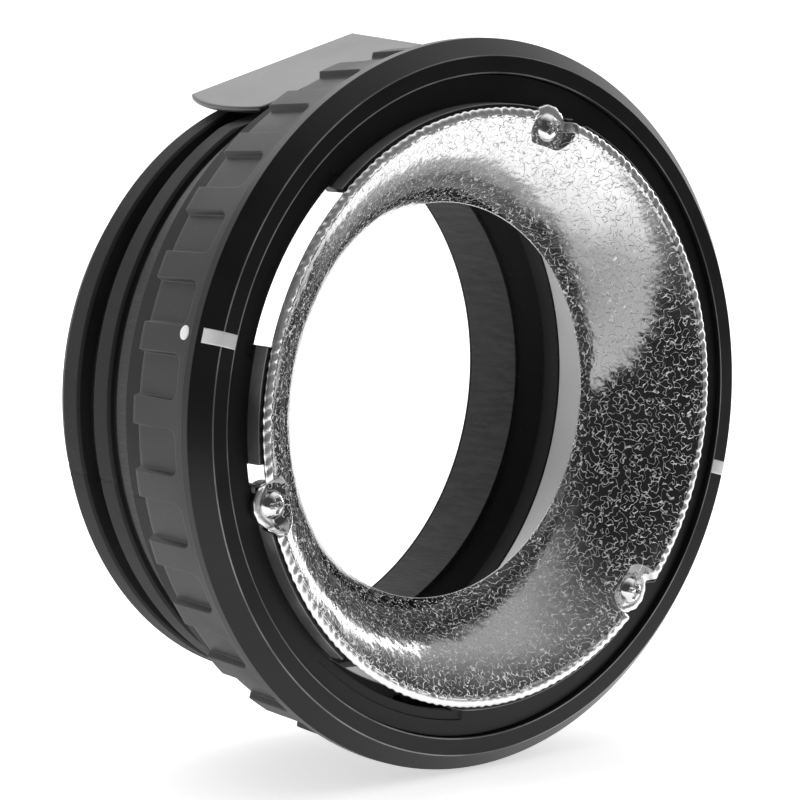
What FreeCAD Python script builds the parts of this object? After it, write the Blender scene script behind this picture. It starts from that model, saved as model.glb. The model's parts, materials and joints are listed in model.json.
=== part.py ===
"""Ring adapter for a studio flash head: a clamp collar behind, a bayonet mouth and a reflector in front.

Every piece is laid out as on a lathe, standing on its rear mouth: z runs forward along the optical axis
from the rear mouth, r is the distance from the axis, and angles run anticlockwise as seen from the front,
from the viewer's right. STAND then lays the lathe's axis along the part's -Y, so that the front faces -Y
and +Z is up. Sizes are in millimetres and degrees, and they all live in the sheet called Dims.
"""
import FreeCAD, Part
import math
import os

import Sketcher

Vector = FreeCAD.Vector
Placement = FreeCAD.Placement
Rotation = FreeCAD.Rotation

FRONT = Vector(0, -1, 0)
STAND = Placement(Vector(0, 0, 0), Rotation(Vector(1, 0, 0), 90))

doc = FreeCAD.newDocument("ring_adapter")
sheet = doc.addObject("Spreadsheet::Sheet", "Dims")

SIZES = {
    "datum": 0.0,
    # bezel: the ring that faces the accessory
    "front_plane": 60.0,
    "bezel_bore": 62.5,
    "bezel_face_radius": 65.9,
    "bezel_radius": 69.1,
    "bezel_cone_foot": 56.6,
    "bezel_back": 54.6,
    "bar_width": 2.7,
    "bar_depth": 0.4,
    "bar_angle": 164.6,
    "bar_end_radius": 68.45,
    "bar_overrun": 1.0,
    # bayonet flange: a plate clamped under the bezel, with a broken lip round the reflector
    "flange_bore": 55.9,
    "lip_radius": 57.1,
    "lip_top": 61.9,
    "flange_back": 56.8,
    "flange_face": 58.8,
    "flange_face_radius": 62.4,
    "flange_rim_radius": 63.4,
    "flange_rim_top": 57.6,
    "notch_radius": 57.4,
    "notch_width": 33.0,
    "step_radius": 59.3,
    "step_depth": 0.4,
    "step_width": 38.0,
    "sliver_width": 4.0,
    "sliver_offset": 6.5,
    "boss_radius": 4.2,
    "boss_top": 59.6,
    "boss_inner_radius": 52.4,
    "boss_bore": 1.25,
    # reflector: a spun dish with a rolled rim, open in the middle
    "rim_radius": 56.4,
    "rim_top": 62.9,
    "rim_foot": 61.95,
    "rim_inner_radius": 54.9,
    "rim_inner_top": 62.6,
    "aperture_radius": 37.8,
    "aperture_back": 45.6,
    "sheet_metal": 0.8,
    "dish_curve": 32.0,
    "seat_radius": 4.6,
    "seat_gap": 0.3,
    "seat_thickness": 0.8,
    "screw_circle": 54.2,
    "screw_angle": 74.0,
    "dome_radius": 2.75,
    "dome_height": 1.7,
    "dome_curve": 3.075,
    "shank_radius": 1.2,
    "shank_foot": 57.3,
    "cross_width": 0.7,
    "cross_length": 3.2,
    "cross_depth": 0.9,
    # housing: carries everything, and is the bearing that the grip ring turns on
    "housing_radius": 63.5,
    "housing_wall_bore": 60.4,
    "housing_step": 46.6,
    "housing_neck_radius": 61.0,
    "housing_bore": 56.3,
    "housing_back": 37.65,
    "cavity_floor": 50.2,
    "running_gap": 0.2,
    # body tube: the light-trap wall seen through the aperture
    "tube_bore": 54.8,
    "tube_radius": 56.1,
    "tube_back": 21.9,
    "tube_flange_radius": 59.6,
    "tube_flange_top": 51.0,
    "small_screw_circle": 57.6,
    "small_screw_angle": 15.0,
    "small_head_radius": 1.4,
    "small_head_height": 1.1,
    "small_shank_radius": 0.8,
    "small_shank_length": 5.0,
    "sink_depth": 0.6,
    # grip ring and the lock ring that it drives
    "grip_front": 53.75,
    "grip_front_radius": 68.0,
    "grip_back": 37.9,
    "grip_back_radius": 66.8,
    "grip_shoulder": 45.5,
    "grip_neck_bore": 61.2,
    "grip_front_bore": 63.7,
    "recess_count": 31,
    "recess_front": 51.2,
    "recess_width": 8.1,
    "recess_depth": 1.25,
    "recess_corner": 2.0,
    "recess_angle": 171.4,
    "recess_overrun": 1.0,
    "dot_angle": 164.5,
    "dot_radius": 1.35,
    "dot_height": 51.4,
    "dot_depth": 0.6,
    "lock_travel": 30.0,
    "lock_bore": 58.2,
    "lock_radius": 60.2,
    "lock_back": 51.2,
    "lock_front": 56.4,
    "finger_bore": 55.9,
    "finger_back": 54.6,
    "finger_width": 28.0,
    "pin_radius": 1.0,
    "pin_height": 52.4,
    "pin_inner": 58.5,
    "pin_outer": 65.2,
    "pin_angle": 45.0,
    "slot_end_gap": 0.35,
    "thrust_washer_back": 45.6,
    "thrust_washer_front": 46.5,
    "thrust_washer_bore": 61.3,
    "thrust_washer_radius": 63.3,
    # detent between the housing and the grip ring
    "ball_radius": 1.5,
    "ball_centre": 60.0,
    "ball_height": 41.5,
    "ball_angle": 120.0,
    "ball_pocket_radius": 1.6,
    "ball_pocket_floor": 57.2,
    "ball_track_radius": 61.8,
    "ball_track_back": 39.8,
    "ball_track_front": 43.2,
    "spring_radius": 1.15,
    "spring_wire": 0.2,
    "spring_turns": 3.0,
    "spring_slack": 0.05,
    # rear retaining ring
    "retainer_back": 36.25,
    "retainer_bore": 56.4,
    "retainer_radius": 61.8,
    "ring_screw_circle": 58.7,
    # rubber collar with its ribs
    "collar_bore": 50.85,
    "liner_bore": 50.0,
    "liner_back": 0.6,
    "liner_front": 14.0,
    "throat_radius": 54.8,
    "throat_start": 17.5,
    "collar_sleeve_bore": 56.15,
    "collar_front": 36.05,
    "collar_back_radius": 54.6,
    "rear_rib_radius": 58.1,
    "rear_rib_back": 4.7,
    "rear_rib_front": 9.7,
    "band_groove_radius": 54.5,
    "middle_rib_radius": 59.2,
    "middle_rib_back": 15.6,
    "middle_rib_front": 20.6,
    "hoop_groove_radius": 57.6,
    "front_rib_radius": 63.0,
    "front_rib_back": 30.3,
    "front_rib_front": 37.7,
    "head_pocket_radius": 60.6,
    "head_pocket_floor": 34.65,
    "rib_edge_break": 0.5,
    "hoop_radius": 58.3,
    "hoop_back": 21.8,
    "hoop_front": 25.6,
    "hoop_ear_angle": -35.0,
    "hoop_ear_width": 5.2,
    "hoop_ear_height": 2.0,
    "hoop_ear_sunk": 0.4,
    # clamp band with its lugs
    "band_radius": 55.2,
    "band_back": 10.1,
    "band_front": 15.1,
    "clamp_angle": 62.0,
    "bolt_line": 62.4,
    "bolt_height": 12.6,
    "lug_gap": 3.0,
    "lug_thickness": 2.4,
    "lug_bottom": 54.8,
    "lug_top": 65.6,
    "lug_hole_radius": 1.6,
    # draw bolt, its nut, the cam lever and the saddle that the cam bears on
    "saddle_thickness": 1.5,
    "saddle_width": 10.8,
    "cam_to_lug": 8.0,
    "bolt_radius": 1.5,
    "bolt_length": 20.7,
    "eye_radius": 2.3,
    "eye_width": 4.6,
    "nut_across_flats": 5.5,
    "nut_height": 3.2,
    "washer_radius": 3.2,
    "washer_thickness": 0.8,
    "pin_shaft_radius": 1.25,
    "pin_shaft_length": 12.8,
    "pivot_clearance": 0.05,
    "clip_radius": 2.3,
    "clip_thickness": 0.6,
    "cam_circle": 4.5,
    "cam_offset": 1.5,
    "cheek_thickness": 2.6,
    "cheek_gap": 5.0,
    "lever_angle": 104.9,
    "lever_tilt": 4.85,
    "lever_plane": 60.3,
    "lever_left": -7.8,
    "lever_length": 42.3,
    "lever_back": 0.6,
    "lever_width": 20.6,
    "lever_end_curve": 19.5,
    "plate_thickness": 1.2,
    "core_thickness": 1.0,
    "core_inset": 1.6,
    "core_width": 16.0,
    "cheek_drop": 1.6,
    "pocket_gap": 0.3,
    "pocket_left": 15.0,
    "pocket_right": 37.0,
    "pocket_floor": 57.4,
    "pocket_back": 14.0,
    "pocket_front": 21.6,
    "lug_pocket_floor": 56.0,
    "lug_pocket_left": 19.0,
    "lug_pocket_right": 13.5,
    "lug_pocket_back": 3.8,
    "lug_pocket_front": 18.4,
}

NOTCH_CENTRES = (147.5, 245.5, 348.5)
LOCK_FINGER_OFFSET = 1.5
THIRDS = (0, 120, 240)
SIXTHS = tuple(60 * turn for turn in range(6))

for row, (alias, size) in enumerate(SIZES.items(), start=1):
    sheet.set(f"A{row}", alias)
    sheet.set(f"B{row}", str(size))
    sheet.setAlias(f"B{row}", alias)
doc.recompute()


def number(words):
    """The value of a sum or difference of sheet aliases, such as "front_plane - bar_depth"."""
    total = 0.0
    sign = 1
    for word in words.split():
        if word in "+-":
            sign = 1 if word == "+" else -1
        else:
            total += sign * sheet.get(word)
    return total


def bound(words):
    """The same sum written as a document expression."""
    return " ".join(word if word in "+-" else f"Dims.{word}" for word in words.split())


def origin_plane(body, role):
    return next(feature for feature in body.Origin.OriginFeatures if feature.Role == role)


def draw(sketch, corners):
    """A closed outline. A corner is (across, up), or (across, up, radius, side) where an arc starts."""
    points = [Vector(number(corner[0]), number(corner[1]), 0) for corner in corners]
    count = len(points)
    for index, corner in enumerate(corners):
        start = points[index]
        end = points[(index + 1) % count]
        if len(corner) == 4:
            chord = end - start
            radius = number(corner[2])
            sagitta = radius - math.sqrt(radius * radius - chord.Length * chord.Length / 4)
            sideways = Vector(-chord.y, chord.x, 0).normalize() * sagitta * corner[3]
            sketch.addGeometry(Part.Arc(start, (start + end) * 0.5 + sideways, end), False)
        else:
            sketch.addGeometry(Part.LineSegment(start, end), False)
    ends = []
    for index, corner in enumerate(corners):
        at_start = (sketch.getPoint(index, 1) - points[index]).Length < 1e-6
        ends.append((1, 2) if at_start else (2, 1))
    for index, corner in enumerate(corners):
        following = (index + 1) % count
        sketch.addConstraint(
            Sketcher.Constraint("Coincident", index, ends[index][1], following, ends[following][0])
        )
        for kind, words in (("DistanceX", corner[0]), ("DistanceY", corner[1])):
            constraint = Sketcher.Constraint(kind, -1, 1, index, ends[index][0], number(words))
            place = sketch.addConstraint(constraint)
            sketch.setExpression(f"Constraints[{place}]", bound(words))
        if len(corner) == 4:
            place = sketch.addConstraint(Sketcher.Constraint("Radius", index, number(corner[2])))
            sketch.setExpression(f"Constraints[{place}]", bound(corner[2]))


def sketch_on(body, role, name):
    sketch = body.newObject("Sketcher::SketchObject", name)
    sketch.AttachmentSupport = [(origin_plane(body, role), "")]
    sketch.MapMode = "FlatFace"
    return sketch


def new_body(label, placement):
    body = doc.addObject("PartDesign::Body", label)
    body.Label = label
    body.Placement = placement
    return body


def turned(label, corners, angle=360, start=0, off_axis=0):
    """A lathe part: an outline of (r, z) corners turned from start through angle degrees.

    The axis of turning is the optical axis, or a line parallel to it that stands off_axis from it at start.
    """
    place = Placement(Vector(0, 0, 0), Rotation(Vector(0, 0, 1), start))
    body = new_body(label, STAND * place * Placement(Vector(off_axis, 0, 0), Rotation()))
    sketch = sketch_on(body, "XZ_Plane", label + "_outline")
    draw(sketch, corners)
    turn = body.newObject("PartDesign::Revolution", label + "_turned")
    turn.Profile = sketch
    turn.ReferenceAxis = (sketch, ["V_Axis"])
    turn.Angle = angle
    doc.recompute()
    body.Tip = turn
    return body


def tangent_frame(angle, across, outward, forward):
    """A frame whose x runs clockwise along the tangent at an angle, y outward and z forward."""
    turn = Placement(Vector(0, 0, 0), Rotation(Vector(0, 0, 1), angle - 90))
    return STAND * turn * Placement(Vector(across, outward, forward), Rotation())


def extruded(label, placement, role, corners, depth, reverse=False):
    """A plate: an outline padded by a bound depth from one of the body's own planes."""
    body = new_body(label, placement)
    sketch = sketch_on(body, role, label + "_outline")
    draw(sketch, corners)
    pad = body.newObject("PartDesign::Pad", label + "_pad")
    pad.Profile = sketch
    pad.setExpression("Length", bound(depth))
    pad.Reversed = reverse
    doc.recompute()
    body.Tip = pad
    return body


def block(name, sizes, placement):
    """A box, its three sizes bound to the sheet."""
    box = doc.addObject("Part::Box", name)
    for side, words in zip(("Length", "Width", "Height"), sizes):
        box.setExpression(side, bound(words))
    box.Placement = placement
    return box


def rod(name, radius, height, placement):
    """A cylinder, its radius and height bound to the sheet."""
    cylinder = doc.addObject("Part::Cylinder", name)
    cylinder.setExpression("Radius", bound(radius))
    cylinder.setExpression("Height", bound(height))
    cylinder.Placement = placement
    return cylinder


def around(label, source, angles):
    """Copies of one piece, turned about the optical axis, as a group of separate solids."""
    doc.recompute()
    copies = []
    for angle in angles:
        copy = source.Shape.copy()
        copy.rotate(Vector(0, 0, 0), FRONT, angle)
        copies += copy.Solids
    group = doc.addObject("Part::Feature", label)
    group.Label = label
    group.Shape = Part.makeCompound(copies)
    return group


def fused(label, pieces):
    union = doc.addObject("Part::MultiFuse", label)
    union.Label = label
    union.Shapes = pieces
    return union


def cut(label, base, tools):
    """One piece with tools taken away from it."""
    tool = tools[0] if len(tools) == 1 else fused(label + "_tools", tools)
    result = doc.addObject("Part::Cut", label)
    result.Label = label
    result.Base = base
    result.Tool = tool
    doc.recompute()
    return result


def common(label, base, tool):
    result = doc.addObject("Part::Common", label)
    result.Label = label
    result.Base = base
    result.Tool = tool
    doc.recompute()
    return result


def upright(radius, angle, height):
    """A frame on the front side at (radius, angle), its z along the optical axis, starting at a height."""
    turn = Placement(Vector(0, 0, 0), Rotation(Vector(0, 0, 1), angle))
    return STAND * turn * Placement(Vector(radius, 0, height), Rotation())


def radial(radius, angle, height):
    """A frame at (radius, angle, height) with its z pointing away from the axis."""
    turn = Placement(Vector(0, 0, 0), Rotation(Vector(0, 0, 1), angle))
    return STAND * turn * Placement(Vector(radius, 0, height), Rotation(Vector(0, 1, 0), 90))


def sector(name, inner, outer, low, high, centre, width):
    """Part of a ring: from inner to outer radius and low to high, width degrees wide about centre."""
    corners = [(inner, low), (outer, low), (outer, high), (inner, high)]
    return turned(name, corners, angle=number(width), start=centre - number(width) / 2)


def bezel_pieces():
    """The front ring, and the two white bars let into it."""
    ring = turned("bezel_turned_ring", [
        ("bezel_bore", "flange_rim_top"),
        ("bezel_bore", "front_plane"),
        ("bezel_face_radius", "front_plane"),
        ("bezel_radius", "bezel_cone_foot"),
        ("bezel_radius", "bezel_back"),
        ("flange_rim_radius + running_gap", "bezel_back"),
        ("flange_rim_radius + running_gap", "flange_rim_top"),
    ])
    skin = turned("bar_skin", [
        ("bezel_bore", "front_plane - bar_depth"),
        ("bezel_bore", "front_plane"),
        ("bezel_face_radius", "front_plane"),
        ("bezel_radius", "bezel_cone_foot"),
        ("bezel_radius", "bezel_cone_foot - bar_depth"),
        ("bezel_radius - bar_depth", "bezel_cone_foot - bar_depth"),
        ("bezel_face_radius - bar_depth", "front_plane - bar_depth"),
    ])
    half = number("bar_width") / 2
    strips = []
    for index, angle in enumerate((number("bar_angle"), number("bar_angle") + 180)):
        place = upright(0, angle, number("bezel_back"))
        place = place * Placement(Vector(number("bezel_bore - bar_overrun"), -half, 0), Rotation())
        strips.append(block(f"bar_strip_{index}", (
            "bar_end_radius - bezel_bore + bar_overrun", "bar_width", "front_plane - bezel_back"), place))
    common("index_bars", skin, fused("bar_strips", strips))
    cut("bezel_ring", ring, [doc.index_bars])


def bayonet_flange():
    """The mouth plate: a lip round the reflector, broken by three keyed notches, and three screw bosses."""
    plate = turned("flange_plate", [
        ("flange_bore", "flange_back"),
        ("flange_rim_radius", "flange_back"),
        ("flange_rim_radius", "flange_rim_top"),
        ("flange_face_radius", "flange_rim_top"),
        ("flange_face_radius", "flange_face"),
        ("lip_radius", "flange_face"),
        ("lip_radius", "lip_top"),
        ("flange_bore", "lip_top"),
    ])
    tools = []
    for index, centre in enumerate(NOTCH_CENTRES):
        tools.append(sector(f"notch_{index}", "aperture_radius", "notch_radius", "cavity_floor",
                            "rim_top", centre, "notch_width"))
        tools.append(sector(f"notch_step_{index}", "flange_bore", "step_radius",
                            "flange_face - step_depth", "rim_top", centre, "step_width"))
    for index, turn in enumerate(THIRDS):
        centre = number("screw_angle - sliver_offset") + turn
        tools.append(sector(f"sliver_{index}", "aperture_radius", "notch_radius", "cavity_floor",
                            "rim_top", centre, "sliver_width"))
    seat_place = upright(number("screw_circle"), number("screw_angle"), number("boss_top"))
    seat_room = rod("seat_room", "seat_radius + seat_gap", "seat_radius", seat_place)
    broken = cut("broken_plate", plate, tools)
    place = upright(number("screw_circle"), number("screw_angle"), number("flange_back"))
    post = rod("boss_post", "boss_radius", "boss_top - flange_back", place)
    bore = rod("boss_hole", "boss_bore", "boss_top", place)
    dish_room = rod("dish_room", "boss_inner_radius", "front_plane", upright(0, 0, number("housing_back")))
    posts = cut("trimmed_posts", around("boss_posts", post, THIRDS), [dish_room])
    bores = around("boss_holes", bore, THIRDS)
    seat_rooms = around("seat_rooms", seat_room, THIRDS)
    cut("bayonet_flange", fused("flange_with_bosses", [broken, posts]), [bores, seat_rooms])


def reflector():
    """A spun dish that flares from its aperture to a rolled rim, flattened to a seat under each screw."""
    dish = turned("dish", [
        ("aperture_radius", "aperture_back", "dish_curve", 1),
        ("rim_inner_radius", "rim_inner_top"),
        ("rim_inner_radius + sheet_metal", "rim_top"),
        ("rim_radius", "rim_top"),
        ("rim_radius", "rim_foot"),
        ("rim_inner_radius + sheet_metal", "rim_foot"),
        ("rim_inner_radius + sheet_metal", "rim_foot - sheet_metal", "dish_curve", -1),
        ("aperture_radius + sheet_metal", "aperture_back"),
    ])
    well_place = upright(number("screw_circle"), number("screw_angle"), number("boss_top"))
    well = rod("seat_well", "seat_radius", "seat_radius", well_place)
    seat = rod("seat_disc", "seat_radius", "seat_thickness", well_place)
    wells = around("seat_wells", well, THIRDS)
    seats = around("seat_discs", seat, THIRDS)
    dented = cut("dented_dish", dish, [wells])
    shank = rod("seat_hole", "boss_bore", "boss_top", upright(
        number("screw_circle"), number("screw_angle"), number("shank_foot")))
    cut("reflector", fused("seated_dish", [dented, seats]), [around("seat_holes", shank, THIRDS)])


def reflector_screws():
    """Domed cross-head screws, three round the rim."""
    place = upright(number("screw_circle"), number("screw_angle"), 0)
    body = turned("dome_screw", [
        ("datum", "shank_foot"),
        ("shank_radius", "shank_foot"),
        ("shank_radius", "boss_top + seat_thickness"),
        ("dome_radius", "boss_top + seat_thickness", "dome_curve", -1),
        ("datum", "boss_top + seat_thickness + dome_height"),
    ], start=number("screw_angle"), off_axis=number("screw_circle"))
    floor = number("boss_top + seat_thickness + dome_height - cross_depth")
    arms = []
    spans = (("cross_length", "cross_width"), ("cross_width", "cross_length"))
    for index, (length, width) in enumerate(spans):
        corner = Vector(-number(length) / 2, -number(width) / 2, floor)
        arms.append(block(f"cross_arm_{index}", (length, width, "dome_radius"),
                          place * Placement(corner, Rotation())))
    around("reflector_screws", cut("one_dome_screw", body, arms), THIRDS)


def tube_screw():
    """A small countersunk screw, flush with the front of the tube's flange."""
    circle = number("small_screw_circle")
    angle = number("small_screw_angle")
    head = doc.addObject("Part::Cone", "tube_screw_head")
    head.setExpression("Radius1", bound("small_shank_radius"))
    head.setExpression("Radius2", bound("small_head_radius"))
    head.setExpression("Height", bound("sink_depth"))
    head.Placement = upright(circle, angle, number("tube_flange_top - sink_depth"))
    shank = rod("tube_screw_shank", "small_shank_radius", "small_shank_length",
                upright(circle, angle, number("tube_flange_top - small_shank_length")))
    return fused("tube_screw_solid", [head, shank])


def ring_screw():
    """A small pan-head screw, its head behind the retaining ring."""
    circle = number("ring_screw_circle")
    angle = number("small_screw_angle")
    head = rod("ring_screw_head", "small_head_radius", "small_head_height",
               upright(circle, angle, number("retainer_back - small_head_height")))
    shank = rod("ring_screw_shank", "small_shank_radius", "small_shank_length",
                upright(circle, angle, number("retainer_back")))
    return fused("ring_screw_solid", [head, shank])


def housing_pieces():
    """The moulded housing, the tube inside it, and the screws that hold the two together."""
    shell = turned("housing_shell", [
        ("housing_bore", "housing_back"),
        ("housing_neck_radius", "housing_back"),
        ("housing_neck_radius", "housing_step"),
        ("housing_radius", "housing_step"),
        ("housing_radius", "flange_back"),
        ("housing_wall_bore", "flange_back"),
        ("housing_wall_bore", "cavity_floor"),
        ("housing_bore", "cavity_floor"),
    ])
    travel = number("lock_travel")
    margin = math.degrees(number("pin_radius + slot_end_gap") / number("housing_wall_bore"))
    tools = []
    for turn in THIRDS:
        end = number("pin_angle") + turn + margin
        width = travel + 2 * margin
        slot = turned(f"pin_slot_{turn}", [
            ("lock_bore", "pin_height - pin_radius - pocket_gap"),
            ("grip_front_bore", "pin_height - pin_radius - pocket_gap"),
            ("grip_front_bore", "pin_height + pin_radius + pocket_gap"),
            ("lock_bore", "pin_height + pin_radius + pocket_gap"),
        ], angle=width, start=end - width)
        tools.append(slot)
    pocket = rod("ball_pocket", "ball_pocket_radius", "housing_radius - ball_pocket_floor",
                 radial(number("ball_pocket_floor"), number("ball_angle"), number("ball_height")))
    tools.append(around("ball_pockets", pocket, (0, 180)))
    tube_screws = around("tube_screws", tube_screw(), SIXTHS)
    ring_screws = around("ring_screws", ring_screw(), SIXTHS)
    tools += [tube_screws, ring_screws]
    cut("housing", shell, tools)
    sleeve = turned("tube_sleeve", [
        ("tube_bore", "tube_back"),
        ("tube_radius", "tube_back"),
        ("tube_radius", "cavity_floor"),
        ("tube_flange_radius", "cavity_floor"),
        ("tube_flange_radius", "tube_flange_top"),
        ("tube_bore", "tube_flange_top"),
    ])
    cut("body_tube", sleeve, [tube_screws])
    ring = turned("retaining_plate", [
        ("retainer_bore", "retainer_back"),
        ("retainer_radius", "retainer_back"),
        ("retainer_radius", "housing_back"),
        ("retainer_bore", "housing_back"),
    ])
    cut("retaining_ring", ring, [ring_screws])
    turned("thrust_washer", [
        ("thrust_washer_bore", "thrust_washer_back"),
        ("thrust_washer_radius", "thrust_washer_back"),
        ("thrust_washer_radius", "thrust_washer_front"),
        ("thrust_washer_bore", "thrust_washer_front"),
    ])


def detent_pieces():
    """Two sprung balls in the housing that run in a track in the grip ring's bore."""
    ball = doc.addObject("Part::Sphere", "one_ball")
    ball.setExpression("Radius", bound("ball_radius"))
    ball.Placement = radial(number("ball_centre"), number("ball_angle"), number("ball_height"))
    around("detent_balls", ball, (0, 180))
    floor = number("ball_pocket_floor") + number("spring_wire")
    reach = number("ball_radius + spring_wire")
    sunk = math.sqrt(reach * reach - number("spring_radius") * number("spring_radius"))
    top = number("ball_centre - spring_slack") - sunk
    helix = Part.makeHelix((top - floor) / number("spring_turns"), top - floor, number("spring_radius"))
    wire_start = Vector(number("spring_radius"), 0, 0)
    section = Part.Wire(Part.makeCircle(number("spring_wire"), wire_start, Vector(0, 1, 0)))
    coil = doc.addObject("Part::Feature", "one_spring")
    coil.Shape = Part.Wire(helix.Edges).makePipeShell([section], True, True)
    coil.Placement = radial(floor, number("ball_angle"), number("ball_height"))
    around("detent_springs", coil, (0, 180))


def grip_pieces():
    """The castellated grip ring, its dot, the pins that drive the lock ring, and the lock ring."""
    ring = turned("grip_blank", [
        ("grip_neck_bore", "grip_back"),
        ("grip_back_radius", "grip_back"),
        ("grip_front_radius", "grip_front"),
        ("grip_front_bore", "grip_front"),
        ("grip_front_bore", "grip_shoulder"),
        ("grip_neck_bore", "grip_shoulder"),
        ("grip_neck_bore", "ball_track_front"),
        ("ball_track_radius", "ball_track_front"),
        ("ball_track_radius", "ball_track_back"),
        ("grip_neck_bore", "ball_track_back"),
    ])
    flare = number("grip_front_radius - grip_back_radius") / number("grip_front - grip_back")
    slope = math.degrees(math.atan(flare))
    half = number("recess_width") / 2
    place = STAND * Placement(Vector(0, 0, 0), Rotation(Vector(0, 0, 1), number("recess_angle")))
    place = place * Placement(Vector(number("grip_back_radius - recess_depth"), -half, number("grip_back")),
                              Rotation(Vector(0, 1, 0), slope))
    place = place * Placement(Vector(0, 0, -number("recess_overrun")), Rotation())
    tool = block("recess_block", (
        "recess_width", "recess_width", "recess_front - grip_back + recess_overrun"), place)
    rounded = doc.addObject("Part::Fillet", "recess_tool")
    rounded.Base = tool
    doc.recompute()
    corner = number("recess_corner")
    upper = []
    for index, edge in enumerate(tool.Shape.Edges, start=1):
        direction = (edge.Vertexes[-1].Point - edge.Vertexes[0].Point).normalize()
        middle = place.inverse().multVec(edge.CenterOfMass)
        local = place.Rotation.inverted().multVec(direction)
        if abs(abs(local.x) - 1) < 1e-6 and middle.z > number("recess_overrun"):
            upper.append((index, corner, corner))
    rounded.Edges = upper
    doc.recompute()
    pitch = 360.0 / number("recess_count")
    recesses = around("recesses", rounded, [pitch * turn for turn in range(int(number("recess_count")))])
    pin = rod("one_pin", "pin_radius", "pin_outer - pin_inner",
              radial(number("pin_inner"), number("pin_angle"), number("pin_height")))
    pins = around("drive_pins", pin, THIRDS)
    surface = number("grip_front_radius") - number("grip_front - dot_height") * flare
    dot_place = radial(surface - number("dot_depth"), number("dot_angle"), number("dot_height"))
    dot = rod("index_dot", "dot_radius", "dot_depth + running_gap", dot_place)
    dot.Label = "index_dot"
    cut("grip_ring", ring, [recesses, pins, dot])
    wall = turned("lock_wall", [
        ("lock_bore", "lock_back"),
        ("lock_radius", "lock_back"),
        ("lock_radius", "lock_front"),
        ("lock_bore", "lock_front"),
    ])
    fingers = []
    for index, centre in enumerate(NOTCH_CENTRES):
        middle = centre + (number("notch_width") + number("finger_width")) / 2 + LOCK_FINGER_OFFSET
        fingers.append(sector(f"lock_finger_{index}", "finger_bore", "lock_bore + sheet_metal",
                              "finger_back", "lock_front", middle, "finger_width"))
    cut("lock_ring", fused("lock_blank", [wall] + fingers), [pins])


def collar_pieces():
    """The ribbed rubber collar, the liner that grips the lamp head, and the hoop that holds the collar."""
    rubber = turned("collar_moulding", [
        ("collar_bore", "liner_back"),
        ("liner_bore", "liner_back"),
        ("liner_bore", "datum"),
        ("collar_back_radius", "datum"),
        ("rear_rib_radius - rib_edge_break", "rear_rib_back"),
        ("rear_rib_radius", "rear_rib_back + rib_edge_break"),
        ("rear_rib_radius", "rear_rib_front - rib_edge_break"),
        ("rear_rib_radius - rib_edge_break", "rear_rib_front"),
        ("band_groove_radius", "rear_rib_front"),
        ("band_groove_radius", "middle_rib_back"),
        ("middle_rib_radius - rib_edge_break", "middle_rib_back"),
        ("middle_rib_radius", "middle_rib_back + rib_edge_break"),
        ("middle_rib_radius", "middle_rib_front - rib_edge_break"),
        ("middle_rib_radius - rib_edge_break", "middle_rib_front"),
        ("hoop_groove_radius", "middle_rib_front"),
        ("hoop_groove_radius", "front_rib_back"),
        ("front_rib_radius - rib_edge_break", "front_rib_back"),
        ("front_rib_radius", "front_rib_back + rib_edge_break"),
        ("front_rib_radius", "front_rib_front"),
        ("retainer_radius + running_gap", "front_rib_front"),
        ("retainer_radius + running_gap", "collar_front"),
        ("head_pocket_radius", "collar_front"),
        ("head_pocket_radius", "head_pocket_floor"),
        ("collar_sleeve_bore", "head_pocket_floor"),
        ("collar_sleeve_bore", "tube_back - pocket_gap"),
        ("throat_radius", "tube_back - pocket_gap"),
        ("throat_radius", "throat_start"),
        ("collar_bore", "liner_front"),
    ])
    lever_pocket = block("lever_pocket", (
        "pocket_left + pocket_right", "lever_width", "pocket_front - pocket_back"), tangent_frame(
        number("lever_angle"), -number("pocket_left"), number("pocket_floor"), number("pocket_back")))
    lug_pocket = block("lug_pocket", (
        "lug_pocket_left + lug_pocket_right", "lever_width", "lug_pocket_front - lug_pocket_back"),
        tangent_frame(number("clamp_angle"), -number("lug_pocket_left"), number("lug_pocket_floor"),
                      number("lug_pocket_back")))
    cut("rubber_collar", rubber, [lever_pocket, lug_pocket])
    turned("collar_liner", [
        ("liner_bore", "liner_back"),
        ("collar_bore", "liner_back"),
        ("collar_bore", "liner_front"),
        ("liner_bore", "liner_front"),
    ])
    strap = turned("hoop_strap", [
        ("hoop_groove_radius", "hoop_back"),
        ("hoop_radius", "hoop_back"),
        ("hoop_radius", "hoop_front"),
        ("hoop_groove_radius", "hoop_front"),
    ])
    ear = block("hoop_ear", ("hoop_ear_width", "hoop_ear_height", "hoop_front - hoop_back"), tangent_frame(
        number("hoop_ear_angle"), -number("hoop_ear_width") / 2, number("hoop_radius - hoop_ear_sunk"),
        number("hoop_back")))
    fused("collar_hoop", [strap, ear])


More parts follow.
